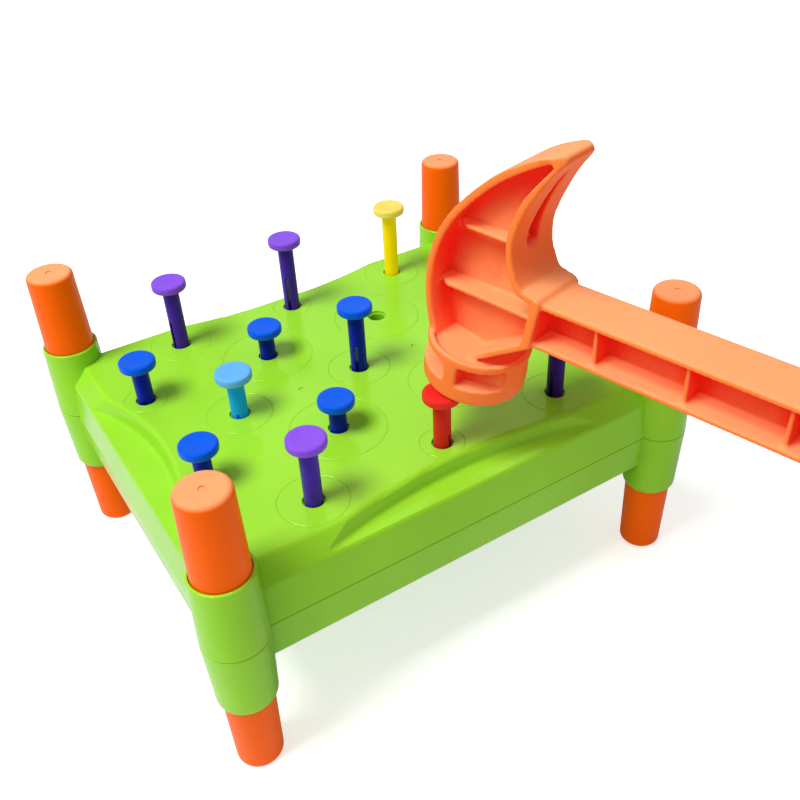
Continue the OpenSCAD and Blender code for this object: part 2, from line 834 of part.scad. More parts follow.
// Nail-pulling groove, wide at the claw's root and narrow towards its tip
module groove() {
    intersection() {
        across(-hammer_w, hammer_w)
            intersection() {
                arcs(throat_wide_centre, throat_wide_r, throat_centre, throat_tight_r, throat_meet,
                    groove_depth);
                head_back(rim_w);
            }
        rotate([90, 0, 90]) linear_extrude(hammer_reach) {
            translate([0, groove_low + groove_w / 2]) circle(groove_w / 2);
            polygon([[-groove_w / 2, groove_low + groove_w / 2], [groove_w / 2, groove_low + groove_w / 2],
                [groove_tip_half, groove_high], [-groove_tip_half, groove_high]]);
        }
    }
}

// Material around the tongue in which the claw ends
module claw_sides() {
    half = hammer_w / 2;
    rotate([0, -claw_rise, 0])
        translate([0, 0, claw_low])
            linear_extrude(claw_high - claw_low)
                difference() {
                    translate([claw_narrows_from, -hammer_w])
                        square([claw_end + claw_corner_r - claw_narrows_from, 2 * hammer_w]);
                    rounded(
                        [[claw_narrows_from, -half], [claw_narrows_to, -claw_end_half],
                            [claw_end, -claw_end_half], [claw_end, claw_end_half],
                            [claw_narrows_to, claw_end_half], [claw_narrows_from, half]],
                        [0, 0, claw_corner_r, claw_corner_r, 0, 0]);
                }
}

// The hammer in its own frame
module hammer_form() {
    head_half = hammer_w / 2;
    grip_half = grip_w / 2;
    difference() {
        union() {
            across(-head_half, head_half) head_outline(0);
            across(-grip_half, grip_half) grip_outline(0);
            drum();
        }
        // Pockets between the ribs, and the space in front of the lower ribs
        across(-head_half - overrun, -core_t / 2) head_pockets();
        across(core_t / 2, head_half + overrun) head_pockets();
        across(-head_half - overrun, rib_recess - head_half) head_outline(rim_w);
        across(head_half - rib_recess, head_half + overrun) head_outline(rim_w);
        across(-grip_half - overrun, grip_pocket - grip_half) grip_pockets();
        across(grip_half - grip_rear_pocket, grip_half + overrun) grip_pockets();
        across(-grip_half - overrun, rib_recess - grip_half) grip_hollow();
        across(grip_half - rib_recess, grip_half + overrun) grip_hollow();
        drum_pockets();
        groove();
        claw_sides();
    }
    translate([ejector_place[0], -core_t / 2 + overrun, ejector_place[1]])
        rotate([90, 0, 0]) cylinder(h = ejector_t + overrun, r = ejector_r);
}

// How far the centre of the leaning face lies past the red nail's axis along the handle,
// and the face's height there when it rests on the edge of the nail's head
face_past_nail = face_from_nail * [cos(hammer_heading), sin(hammer_heading)];
face_z = plate_z + shaft_length * raised_red_share + head_t + rest_gap
    + tan(drum_lean) * (head_r - face_past_nail);

module hammer() {
    color(hammer_orange)
        translate([red_place[0] + face_from_nail[0], red_place[1] + face_from_nail[1], face_z])
            rotate(hammer_heading) hammer_form();
}

top_shell();
bottom_shell();
post_rear_left();
post_front_left();
post_rear_right();
post_front_right();
foot_rear_left();
foot_front_left();
foot_rear_right();
foot_front_right();
nail_purple_rear_left();
nail_purple_rear_middle();
nail_yellow();
nail_blue_rear_left();
nail_blue_rear_inner();
nail_light_blue();
nail_blue_middle();
nail_blue_front_left();
nail_blue_front_inner();
nail_purple_front_left();
nail_red();
nail_dark_purple();
hammer();
shell_screws();
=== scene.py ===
# %% [markdown]
# # A peg pounding bench in moulded plastic
# The toy is a green bench on four orange legs. Twelve nails with split shafts
# stand in a staggered pattern of holes, and a claw hammer rests on the red one.
# Every part is injection moulded, so the whole lesson is about one thing: how
# coloured plastic that left a steel mould looks in soft light.
#
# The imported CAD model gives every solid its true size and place. This script
# dresses it: softened edges, plastics with uneven gloss, screws made by Geometry
# Nodes, a pale floor, two lamps and a camera at the photograph's viewpoint.

# %% Load the frame
import math

import bmesh
import bpy
from mathutils import Matrix, Vector


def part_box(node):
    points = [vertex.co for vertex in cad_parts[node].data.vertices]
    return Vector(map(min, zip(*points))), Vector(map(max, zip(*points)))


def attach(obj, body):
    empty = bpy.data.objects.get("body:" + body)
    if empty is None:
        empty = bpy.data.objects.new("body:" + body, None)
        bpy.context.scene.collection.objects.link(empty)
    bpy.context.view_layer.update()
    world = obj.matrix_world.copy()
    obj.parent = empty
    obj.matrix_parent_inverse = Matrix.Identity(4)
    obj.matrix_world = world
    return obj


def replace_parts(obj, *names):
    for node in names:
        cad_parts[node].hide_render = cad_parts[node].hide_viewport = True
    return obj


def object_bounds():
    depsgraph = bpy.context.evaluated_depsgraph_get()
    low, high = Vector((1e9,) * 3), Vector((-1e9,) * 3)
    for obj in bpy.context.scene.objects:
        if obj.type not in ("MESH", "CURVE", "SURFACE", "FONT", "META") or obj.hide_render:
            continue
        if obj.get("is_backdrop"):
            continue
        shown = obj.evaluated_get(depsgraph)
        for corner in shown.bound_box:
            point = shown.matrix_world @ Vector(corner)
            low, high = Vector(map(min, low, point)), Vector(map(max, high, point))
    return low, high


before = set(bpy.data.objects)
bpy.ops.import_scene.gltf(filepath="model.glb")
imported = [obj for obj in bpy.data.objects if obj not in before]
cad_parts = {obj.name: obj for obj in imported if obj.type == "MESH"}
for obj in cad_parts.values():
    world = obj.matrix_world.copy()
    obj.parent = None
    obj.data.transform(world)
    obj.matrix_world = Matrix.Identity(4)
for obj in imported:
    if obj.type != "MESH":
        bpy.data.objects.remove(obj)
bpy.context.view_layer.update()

MM = 0.001

# %% [markdown]
# ## Two small helpers
# Shaders work in linear light while a colour picker shows sRGB, so every hex
# colour goes through one function. A second one adds any node to any tree,
# sets its properties and socket values, and links its inputs. Most sockets have
# a name of their own, but a Mix node carries one set each for numbers, vectors
# and colours, so the set for colours is named here by its numbers.

# %% Colour and node helpers
MIX_SHARE, MIX_A, MIX_B, MIX_RESULT = 0, 6, 7, 2


def linear(hex_colour):
    """Linear red, green, blue and alpha of an sRGB hex colour."""
    shares = [int(hex_colour[i : i + 2], 16) / 255 for i in (1, 3, 5)]
    return [s / 12.92 if s <= 0.04045 else ((s + 0.055) / 1.055) ** 2.4 for s in shares] + [1]


def add_node(tree, kind, values=None, links=None, **settings):
    """Adds one node, sets its properties and socket values, and links its inputs."""
    node = tree.nodes.new(kind)
    for name, value in settings.items():
        setattr(node, name, value)
    for socket, value in (values or {}).items():
        node.inputs[socket].default_value = value
    for socket, source in (links or {}).items():
        tree.links.new(source, node.inputs[socket])
    return node


print("pure green in linear light:", [round(x, 3) for x in linear("#A3E832")])

# %% [markdown]
# ## Injection-moulded plastic
# Bench, legs and hammer are polypropylene, shot into steel moulds whose surface
# they copy. The eye sees a strong even colour, a sheen with slightly uneven
# gloss, faint flow marks some centimetres wide and a skin that is never quite
# flat. Three noises on Object coordinates give this: a broad one for the
# colour, a middle one for the gloss and a fine one for the bump. No mould has a
# truly sharp edge either, so a Bevel node bends the normals at every edge by the
# cutter's radius.

# %% Sizes and levels of a moulded skin
FLOW_MARK = 45 * MM
GLOSS_PATCH = 12 * MM
SKIN_GRAIN = 0.9 * MM
GRAIN_DEPTH = 0.01 * MM
CUTTER_RADIUS = 0.5 * MM
BEVEL_SAMPLES = 4
NOISE_LOW, NOISE_HIGH = 0.3, 0.7  # nearly all values of a noise lie between these
FLOW_LOW, FLOW_HIGH = 0.96, 1.03
PLASTIC_IOR = 1.49  # polypropylene and polyethylene lie between 1.49 and 1.51
MILKINESS = 0.06
SCATTER_COLOUR = (1, 0.4, 0.2)
SCATTER_DEPTH = 1.5 * MM
print("patterns in mm:", [round(size / MM, 1) for size in (FLOW_MARK, GLOSS_PATCH, SKIN_GRAIN)])

# %% [markdown]
# ## Three tones of one plastic
# Light and shade are painted into the colour here. Faces that look up get a paler tone, a painted highlight,
# and places that little light reaches get a deeper, purer tone, painted shade. A plain colour under the same
# lamps looks chalky beside it. So every plastic has three tones, a painted lit top, the side colour and a
# painted shade, mixed by how much a face looks up and by ambient occlusion. With its normal pointing at the
# light above, that node measures how open a place is towards the light, so the mix paints soft shadows into
# the colour.

# %% How much light reaches a place
POCKET_REACH = 30 * MM
# the direction towards the key lamp, from which the painted light and shadow are measured
FROM_ABOVE = (-0.49, 0.01, 0.87)
FACING_LOW, FACING_HIGH = 0.35, 0.95  # height of the normal of a slope and of a level face
LEVEL_SHARE = 0.6  # how far a level face counts as lit, even in a corner
OPENNESS_SAMPLES = 8


def light_shares(tree, light_reach):
    """Two sockets of painted light: how lit a place is, painted as shade where the light above is blocked,
    and how far a face that looks up is painted paler.
    """
    facing = add_node(tree, "ShaderNodeNewGeometry").outputs["Normal"]
    height = add_node(tree, "ShaderNodeSeparateXYZ", None, {"Vector": facing}).outputs["Z"]
    above = add_node(tree, "ShaderNodeCombineXYZ", dict(zip("XYZ", FROM_ABOVE)))
    openness = add_node(
        tree, "ShaderNodeAmbientOcclusion", {"Distance": POCKET_REACH}, {"Normal": above.outputs["Vector"]},
        samples=OPENNESS_SAMPLES)
    upward = add_node(
        tree, "ShaderNodeMapRange", {"From Min": FACING_LOW, "From Max": FACING_HIGH}, {"Value": height})
    shallow = add_node(
        tree, "ShaderNodeMapRange", {"From Min": light_reach[0], "From Max": light_reach[1]},
        {"Value": openness.outputs["AO"]})
    lit = add_node(
        tree, "ShaderNodeMath", {1: LEVEL_SHARE},
        {0: upward.outputs["Result"], 2: shallow.outputs["Result"]},
        operation="MULTIPLY_ADD", use_clamp=True)
    painted_paleness = add_node(
        tree, "ShaderNodeMath", None, {0: upward.outputs["Result"], 1: lit.outputs[0]},
        operation="MULTIPLY")
    return lit.outputs[0], painted_paleness.outputs[0]


print("ambient occlusion reaches", POCKET_REACH / MM, "mm")

# %% [markdown]
# ## Tones in a pocket
# The hammer has deep pockets, in which light bounces from wall to wall and takes up colour each time. That
# bounced light and its shade are painted into the colour. Plain ambient occlusion tells a pocket from an
# open face. In a pocket the dark places are painted red as shade and the lit ones pale as bounced light, and
# outside it the faces turned away from the light are painted a clean orange, the painted shade tone.

# %% Mixed tones
WALLED_IN, UNWALLED = 0.72, 0.86  # openness of a pocket and of an outer face
BOUNCE = 0.85  # how far bounced light brings a lit pocket from the side tone to the top tone


def pocket_tones(tree, tones, shade_hex):
    """Two sockets: the painted dark and bright tone of a pocket, each by how walled in a place is."""
    painted_top_light_hex, side_hex, painted_shade_hex = tones
    around = add_node(
        tree, "ShaderNodeAmbientOcclusion", {"Distance": POCKET_REACH}, samples=OPENNESS_SAMPLES)
    unwalled = add_node(
        tree, "ShaderNodeMapRange", {"From Min": WALLED_IN, "From Max": UNWALLED},
        {"Value": around.outputs["AO"]})
    bounced = [side + BOUNCE * (top - side) for side, top in zip(linear(side_hex), linear(painted_top_light_hex))]
    mixes = [
        add_node(
            tree, "ShaderNodeMix", {MIX_A: walled, MIX_B: linear(open_hex)},
            {MIX_SHARE: unwalled.outputs["Result"]}, data_type="RGBA")
        for walled, open_hex in ((linear(painted_shade_hex), shade_hex), (bounced, side_hex))
    ]
    return [mix.outputs[MIX_RESULT] for mix in mixes]


def tone_by_light(tree, tones, light_reach, shade_hex):
    """The colour socket of a plastic with painted light and shade: tones for lit tops, sides and shaded deep
    corners.
    """
    painted_top_light_hex, side_hex, painted_shade_hex = tones
    lit, painted_paleness = light_shares(tree, light_reach)
    sides = add_node(
        tree, "ShaderNodeMix", {MIX_A: linear(painted_shade_hex), MIX_B: linear(side_hex)}, {MIX_SHARE: lit},
        data_type="RGBA")
    if shade_hex:
        for socket, source in zip((MIX_A, MIX_B), pocket_tones(tree, tones, shade_hex)):
            tree.links.new(source, sides.inputs[socket])
    tone = add_node(
        tree, "ShaderNodeMix", {MIX_B: linear(painted_top_light_hex)},
        {MIX_SHARE: painted_paleness, MIX_A: sides.outputs[MIX_RESULT]}, data_type="RGBA")
    return tone.outputs[MIX_RESULT]


print("a pocket closes in below an openness of", WALLED_IN)

# %% [markdown]
# ## The plastic itself
# A Principled shader carries colour, gloss and bump. Its sheen is tinted, because the photograph's
# reflections on bright plastic take up its hue. The orange, coral, yellow and light blue plastics get a
# small emission in their deep tone, a painted glow, though they are no lamp: it adds a little light of their
# own, most visible in their shade.

# %% A moulded plastic
def moulded_plastic(
        name, tones, gloss, sheen_hex, sheen=0.5, glow=0.0, light_reach=(0.15, 0.5), shade_hex=None):
    """A moulded plastic with three tones: a painted lit tone for faces that look up, one for sides and
    painted shade for deep corners.

    gloss is its range of roughness, sheen_hex and sheen the tint and level of its reflection, and glow the
    strength of a painted glow, an emission in its deep tone. Between the two openings of light_reach the
    painted shade turns to the side tone. A shade_hex gives a painted shade tone of its own to open faces
    that look away from the light.
    """
    *_, painted_shade_hex = tones
    material = bpy.data.materials.new(name)
    material.use_nodes = True
    tree = material.node_tree
    tree.nodes.clear()
    place = add_node(tree, "ShaderNodeTexCoord").outputs["Object"]
    flow = add_node(tree, "ShaderNodeTexNoise", {"Scale": 1 / FLOW_MARK, "Detail": 3}, {"Vector": place})
    patch = add_node(tree, "ShaderNodeTexNoise", {"Scale": 1 / GLOSS_PATCH, "Detail": 4}, {"Vector": place})
    grain = add_node(tree, "ShaderNodeTexNoise", {"Scale": 1 / SKIN_GRAIN, "Detail": 2}, {"Vector": place})

    value = add_node(
        tree, "ShaderNodeMapRange",
        {"From Min": NOISE_LOW, "From Max": NOISE_HIGH, "To Min": FLOW_LOW, "To Max": FLOW_HIGH},
        {"Value": flow.outputs["Fac"]})
    colour = add_node(
        tree, "ShaderNodeHueSaturation", None,
        {"Color": tone_by_light(tree, tones, light_reach, shade_hex), "Value": value.outputs["Result"]})
    roughness = add_node(
        tree, "ShaderNodeMapRange",
        {"From Min": NOISE_LOW, "From Max": NOISE_HIGH, "To Min": gloss[0], "To Max": gloss[1]},
        {"Value": patch.outputs["Fac"]})
    edge = add_node(tree, "ShaderNodeBevel", {"Radius": CUTTER_RADIUS}, samples=BEVEL_SAMPLES)
    bump = add_node(
        tree, "ShaderNodeBump", {"Strength": 1, "Distance": GRAIN_DEPTH},
        {"Height": grain.outputs["Fac"], "Normal": edge.outputs["Normal"]})
    shader = add_node(
        tree, "ShaderNodeBsdfPrincipled",
        {"IOR": PLASTIC_IOR, "Specular IOR Level": sheen, "Specular Tint": linear(sheen_hex),
         "Subsurface Weight": MILKINESS, "Subsurface Radius": SCATTER_COLOUR,
         "Subsurface Scale": SCATTER_DEPTH, "Emission Color": linear(painted_shade_hex), "Emission Strength": glow},
        {"Base Color": colour.outputs["Color"], "Roughness": roughness.outputs["Result"],
         "Normal": bump.outputs["Normal"]})
    add_node(tree, "ShaderNodeOutputMaterial", links={"Surface": shader.outputs["BSDF"]})
    return material


# Each plastic's tones are a painted lit top, the side colour and a painted shade, and glow is a painted glow
# A polished mould gives the shells narrow, clear reflections
green = moulded_plastic(
    "Green polypropylene, polished mould", ("#A2EA34", "#9CE22C", "#74BC0C"), gloss=(0.13, 0.2),
    sheen_hex="#D8FF98")
# A satin mould spreads reflections into a soft sheen, on the legs and more so on the hammer
orange = moulded_plastic(
    "Orange polypropylene, satin mould", ("#FFAC74", "#FF6408", "#EC6000"), gloss=(0.32, 0.44),
    sheen_hex="#FF8830", sheen=0.2, glow=0.15)
# The hammer's shade_hex is painted shade on open faces turned away from the light
hammer_orange = moulded_plastic(
    "Coral polypropylene, satin mould", ("#FFAF74", "#FF863E", "#F02A1A"), gloss=(0.36, 0.48),
    sheen_hex="#FF8838", sheen=0.15, glow=0.12, light_reach=(0.33, 0.43), shade_hex="#FF7018")
print("plastics so far:", [m.name for m in (green, orange, hammer_orange)])

# %% [markdown]
# ## Nail colours
# The nails are polyethylene, a little softer and waxier, so their sheen is wider and weaker. Their heads
# catch the light from above while the split shafts stand in their shade, so each nail gets two tones of one
# hue: a lit one for the head and a darker one of painted shade for the shaft.

# %% Nail plastics
# Head tone and shaft tone of each nail; the darker shaft tone is painted shade
NAIL_TONES = {
    "purple": ("#9058EE", "#4C2AB4"),
    "blue": ("#0C61F0", "#0A20B4"),
    "light_blue": ("#68B8FA", "#10A0F0"),
    "yellow": ("#FFE468", "#FFD800"),
    "red": ("#F0302A", "#E02A20"),
    "dark_purple": ("#3A2060", "#341A70"),
}
NAIL_GLOSS = (0.34, 0.46)
NAIL_SHEEN = 0.4
# PALE_GLOW is a painted glow of the yellow and light blue nails, which shows less on a lit head
PALE_GLOW = {"yellow": 0.18, "light_blue": 0.12}
GLOW_SHARES = (0.3, 1)  # a head shows less of the glow than a shaded shaft
nail_plastics = {}
for tint, tones in NAIL_TONES.items():
    words = tint.replace("_", " ").capitalize()
    nail_plastics[tint] = [
        moulded_plastic(
            f"{words} polyethylene, {part}", (tone, tone, tone), gloss=NAIL_GLOSS, sheen_hex=tone,
            sheen=NAIL_SHEEN, glow=PALE_GLOW.get(tint, 0) * share)
        for part, tone, share in zip(("head", "shaft"), tones, GLOW_SHARES)
    ]
print("nail plastics:", 2 * len(nail_plastics))

# %% [markdown]
# ## Copies of the CAD solids
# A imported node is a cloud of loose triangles. Where a piece needs two plastics
# or truly round edges, a copy is made and its triangles are welded first.

# %% Weld, smooth and settle
WELD = 0.002 * MM
SHARP = math.radians(32)


def welded_copy(node):
    """A new object with the mesh of a CAD node, its triangles welded."""
    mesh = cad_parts[node].data.copy()
    mesh.name = node + "_moulded"
    mesh.materials.clear()
    work = bmesh.new()
    work.from_mesh(mesh)
    bmesh.ops.remove_doubles(work, verts=work.verts, dist=WELD)
    work.to_mesh(mesh)
    work.free()
    piece = bpy.data.objects.new(mesh.name, mesh)
    bpy.context.scene.collection.objects.link(piece)
    return piece


def settle(piece):
    """Turns a piece with modifiers into a plain mesh."""
    bpy.context.view_layer.update()
    settled = bpy.data.meshes.new_from_object(piece.evaluated_get(bpy.context.evaluated_depsgraph_get()))
    settled.name = piece.data.name
    piece.modifiers.clear()
    piece.data = settled
    return piece


def smooth(piece, angle=SHARP):
    """Smooth faces, with an edge kept sharp where it turns by more than the angle."""
    work = bmesh.new()
    work.from_mesh(piece.data)
    for face in work.faces:
        face.smooth = True
    for edge in work.edges:
        edge.smooth = not edge.is_manifold or edge.calc_face_angle(0) < angle
    work.to_mesh(piece.data)
    work.free()
    return piece


print("an edge is kept sharp from", round(math.degrees(SHARP)), "degrees on")

# %% [markdown]
# ## Shells and legs
# These keep their CAD meshes, which already have the mould's radii, the ring
# grooves and the parting line. They only need their plastic.

# %% Green shells and orange legs
for node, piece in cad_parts.items():
    plastic, slot = (green, "green") if "shell" in node else (orange, "orange")
    if node.startswith(("post_", "foot_")) or node in ("top_shell", "bottom_shell"):
        piece.data.materials.clear()
        piece.data.materials.append(plastic)
print("shells and legs dressed")

# %% [markdown]
# ## The hammer's pockets
# The CAD hammer keeps a thick core behind its near pocket, which is easy to
# machine and to simulate. The real moulding has a thin web there, and two ribs
# that stay well below the rim and dip where they meet the outer wall. Only few
# planes of points have to move for that, so a copy of the solid is reshaped
# instead of modelled anew. All sizes are in the hammer's own frame: along the
# handle, across the hammer, and up.

# %% The hammer's own frame
HAMMER_PLACE = Vector((20.5, -80.7, 153.3)) * MM
HAMMER_HEADING = math.radians(-75.5)
CORE_FACE, RIB_FACE = -5.5 * MM, -12.5 * MM
SAME_PLANE = 0.05 * MM
hammer_frame = Matrix.Translation(HAMMER_PLACE) @ Matrix.Rotation(HAMMER_HEADING, 4, "Z")
hammer = welded_copy("hammer")
print("hammer points:", len(hammer.data.vertices))

# %% [markdown]
# ## Drum, handle and claw
# The near pockets of drum and handle are shallower than in the solid, so their
# back walls come forward. In the drum these walls follow its round side: they
# stand further out in the middle than at the sides. The head's pocket runs a
# little further into the claw, and its points there are pulled along by a share
# that eases in, which keeps the curve of the edge smooth.

# %% Back walls and the tip of the pocket
DRUM_TURN_BACK = Matrix.Rotation(math.radians(10.2), 3, "Y").inverted()
DRUM_LOW, DRUM_HIGH = 9.7 * MM, 20.9 * MM
# The left and right end of each pocket, and how far across its back wall stands there, in mm
DRUM_POCKETS = (((-22.5, -1), (-8.3, -15)), ((5.6, 23.4), (-17, -7.5)))
END_SLACK = 0.01
HANDLE_START = 40 * MM
CAD_GRIP_FACE, GRIP_FACE = 4 * MM, 0.3 * MM
# The head's pocket lies within the first circle and outside the second
BACK_ARC_CENTRE, BACK_ARC_LIMIT = Vector((69.52, 49.24)) * MM, 77 * MM
THROAT_ARC_CENTRE, THROAT_ARC_LIMIT = Vector((124.64, 58.7)) * MM, 100.5 * MM
PULL_START, PULL_LENGTH = 104, 17  # mm
TIP_PULL = Vector((3.3, 0, 1.9)) * MM
TIP_DROP = 1.2 * MM


def raise_drum_wall(place):
    """Brings a point of a drum pocket's back wall forward."""
    seat = DRUM_TURN_BACK @ place
    if not DRUM_LOW < seat.z < DRUM_HIGH:
        return False
    for (left, right), (near, far) in DRUM_POCKETS:
        share = (seat.x / MM - left) / (right - left)
        if -END_SLACK < share < 1 + END_SLACK:
            place.y = (near + share * (far - near)) * MM
            return True
    return False


def stretch_tip(place, on_core):
    """Pulls a point of the head's pocket into the claw; the rim falls away a little there."""
    spot = Vector((place.x, place.z))
    inside = (spot - BACK_ARC_CENTRE).length < BACK_ARC_LIMIT
    inside = inside and (spot - THROAT_ARC_CENTRE).length > THROAT_ARC_LIMIT
    if not inside or place.z <= PULL_START * MM or place.y >= CORE_FACE + SAME_PLANE:
        return False
    share = min(1, (place.z / MM - PULL_START) / PULL_LENGTH)
    share = share * share * (3 - 2 * share)
    if not on_core:
        place.y += TIP_DROP * share ** 4
    place += TIP_PULL * share
    return True


def reshape_near_pockets(place):
    """Moves a point of drum, handle or claw and says whether it was one."""
    on_core = abs(place.y - CORE_FACE) < SAME_PLANE
    if on_core and raise_drum_wall(place):
        return True
    if abs(place.y - CAD_GRIP_FACE) < SAME_PLANE and place.x > HANDLE_START:
        place.y = GRIP_FACE
        return True
    return stretch_tip(place, on_core)


print("drum pockets:", len(DRUM_POCKETS))

# %% [markdown]
# ## The web of the head
# The pocket's floor sinks by five millimetres, except at the top, where it stays
# up behind the groove that splits the claw. Two cuts across the floor give the
# ramp between both levels its edges. The plain ribs sink into the floor, and
# the round mark of an ejector pin moves to its place on the web.

# %% Sink the floor
WEB_FACE = -0.5 * MM
RAMP_LOW, RAMP_HIGH = 76 * MM, 80 * MM
HEAD_BACK = -15.5 * MM
POCKET_LOW, POCKET_HIGH = 21 * MM, 123 * MM
PLAIN_RIBS_BELOW = 90 * MM
MARK_ALONG, MARK_UP = (12 * MM, 20 * MM), (62 * MM, 71 * MM)
MARK_PROUD = 0.4 * MM
MARK_SHIFT = Vector((-3.8, 0, -3.4)) * MM
MARK_RAISE = 0.6 * MM


def sink_web(place):
    """Moves a point of the pocket's floor or of a plain rib and says whether it was one."""
    at_floor = CORE_FACE - MARK_PROUD < place.y < CORE_FACE + SAME_PLANE
    at_rib = abs(place.y - RIB_FACE) < SAME_PLANE and place.z < PLAIN_RIBS_BELOW
    in_pocket = place.x > HEAD_BACK and POCKET_LOW < place.z < POCKET_HIGH
    if not in_pocket or not (at_floor or at_rib):
        return False
    if at_rib:
        place.y = CORE_FACE
    elif MARK_UP[0] < place.z < MARK_UP[1] and MARK_ALONG[0] < place.x < MARK_ALONG[1]:
        place += MARK_SHIFT
        if place.y < CORE_FACE - 2 * SAME_PLANE:
            place.y -= MARK_RAISE
    share = min(1, max(0, (RAMP_HIGH - place.z) / (RAMP_HIGH - RAMP_LOW)))
    place.y += share * (WEB_FACE - CORE_FACE)
    return True


def reshape(piece, rules):
    """Cuts the ramp's edges, moves each point by the first rule that fits and counts the moved ones."""
    to_frame = hammer_frame.inverted()
    work = bmesh.new()
    work.from_mesh(piece.data)
    for height in (RAMP_LOW, RAMP_HIGH):
        bmesh.ops.bisect_plane(
            work, geom=work.verts[:] + work.edges[:] + work.faces[:],
            plane_co=hammer_frame @ Vector((0, 0, height)), plane_no=(0, 0, 1))
    moved = 0
    for point in work.verts:
        place = to_frame @ point.co
        if any(rule(place) for rule in rules):
            point.co = hammer_frame @ place
            moved += 1
    work.to_mesh(piece.data)
    work.free()
    return moved


moved_points = reshape(hammer, (reshape_near_pockets, sink_web))
print("pocket points moved:", moved_points)

# %% [markdown]
# ## Two new ribs
# Each rib is a plate whose near edge is a line of a few points along and across
# the hammer. Its far edge reaches into the web, so the remesh below joins them.

# %% Lay in the ribs
RIB_THICKNESS = 1.9 * MM
RIB_ROOT = 1  # mm behind the middle of the hammer
# The height of each rib's top, and its near edge along and across the hammer, in mm
RIBS = (
    (52.6, [(-15.2, -5.5), (-8.5, -10.5), (30, -11.6), (43, -11.6)]),
    (84.8, [(-4, -6), (4.4, -10.6), (20, -11.4), (29.5, -11.4)]),
)


def add_rib(piece, top, line):
    """Adds a plate below the height top, with its near edge along the line."""
    work = bmesh.new()
    work.from_mesh(piece.data)
    outline = [(x * MM, y * MM) for x, y in line + [(line[-1][0], RIB_ROOT), (line[0][0], RIB_ROOT)]]
    rings = [
        [work.verts.new(hammer_frame @ Vector((x, y, z))) for x, y in outline]
        for z in (top * MM - RIB_THICKNESS, top * MM)
    ]
    faces = [work.faces.new(rings[0][::-1]), work.faces.new(rings[1])]
    for index in range(len(outline)):
        after = (index + 1) % len(outline)
        faces.append(work.faces.new((rings[0][index], rings[0][after], rings[1][after], rings[1][index])))
    bmesh.ops.recalc_face_normals(work, faces=faces)
    work.to_mesh(piece.data)
    work.free()


for top, line in RIBS:
    add_rib(hammer, top, line)
print("ribs laid in:", len(RIBS))

# %% [markdown]
# ## The hammer's skin
# A child's hammer has no hard edge anywhere: rims, ribs and claw are rounded by
# about a millimetre. Rounding each of its many corners by hand would take a
# toolmaker's day. A voxel remesh gives the solid an even skin instead, which
# also joins the new ribs to it, and a smoothing filter then wears every edge
# down alike, much as polishing the mould's electrode does.

# %% Remesh and wear the edges
VOXEL = 0.8 * MM
WEAR_STRENGTH = 0.5
WEAR_PASSES = 5
KEPT_SHARE = 0.5
ALL_SMOOTH = math.radians(180)

remesh = hammer.modifiers.new("Even skin", "REMESH")
remesh.mode = "VOXEL"
remesh.voxel_size = VOXEL
wear = hammer.modifiers.new("Worn edges", "SMOOTH")
wear.factor = WEAR_STRENGTH
wear.iterations = WEAR_PASSES
thin = hammer.modifiers.new("Fewer faces", "DECIMATE")
thin.ratio = KEPT_SHARE
settle(hammer)
smooth(hammer, ALL_SMOOTH)
hammer.data.materials.append(hammer_orange)
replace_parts(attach(hammer, "hammer"), "hammer")
print("hammer faces:", len(hammer.data.polygons))

# %% [markdown]
# ## The nails
# Head and shaft are one moulding. Faces above the head's underside get the lit tone, the others the darker
# tone of painted shade.

# %% A lit head and a painted-shade shaft on each nail
HEAD_THICKNESS = 4.8 * MM
UNDERSIDE_SLACK = 0.01 * MM
tints = sorted(NAIL_TONES, key=len, reverse=True)  # longest name first: dark purple is no purple
nails = [node for node in sorted(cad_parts) if node.startswith("nail_")]
for node in nails:
    tint = next(name for name in tints if name in node)
    nail = smooth(welded_copy(node))
    for plastic in nail_plastics[tint]:
        nail.data.materials.append(plastic)
    head_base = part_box(node)[1].z - HEAD_THICKNESS
    for face in nail.data.polygons:
        face.material_index = 0 if face.center.z > head_base - UNDERSIDE_SLACK else 1
    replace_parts(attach(nail, node), node)
print("nails dressed:", len(nails))

# %% [markdown]
# ## The screws
# Six pan-head screws with a cross recess hold the shells together from below.
# They repeat, so Geometry Nodes makes one and sets it on six points, each
# turned by its own angle, since no two screws stop at the same one.

# %% Zinc-plated steel
# Zinc grows in crystals, which give the eye a cool grey with a patchy, half-dull shine.
# They are far finer than this, and are drawn so coarse to show at all.
ZINC_CRYSTAL = 0.25 * MM
ZINC_GLOSS = (0.22, 0.5)
steel = bpy.data.materials.new("Zinc-plated steel")
steel.use_nodes = True
tree = steel.node_tree
tree.nodes.clear()
place = add_node(tree, "ShaderNodeTexCoord").outputs["Object"]
crystals = add_node(tree, "ShaderNodeTexNoise", {"Scale": 1 / ZINC_CRYSTAL, "Detail": 3}, {"Vector": place})
shine = add_node(
    tree, "ShaderNodeMapRange", {"To Min": ZINC_GLOSS[0], "To Max": ZINC_GLOSS[1]},
    {"Value": crystals.outputs["Fac"]})
zinc = add_node(
    tree, "ShaderNodeMix", {MIX_A: linear("#A9B2BC"), MIX_B: linear("#C9CDD0")},
    {MIX_SHARE: crystals.outputs["Fac"]}, data_type="RGBA")
shader = add_node(
    tree, "ShaderNodeBsdfPrincipled", {"Metallic": 1},
    {"Base Color": zinc.outputs[MIX_RESULT], "Roughness": shine.outputs["Result"]})
add_node(tree, "ShaderNodeOutputMaterial", links={"Surface": shader.outputs["BSDF"]})
print("steel ready")

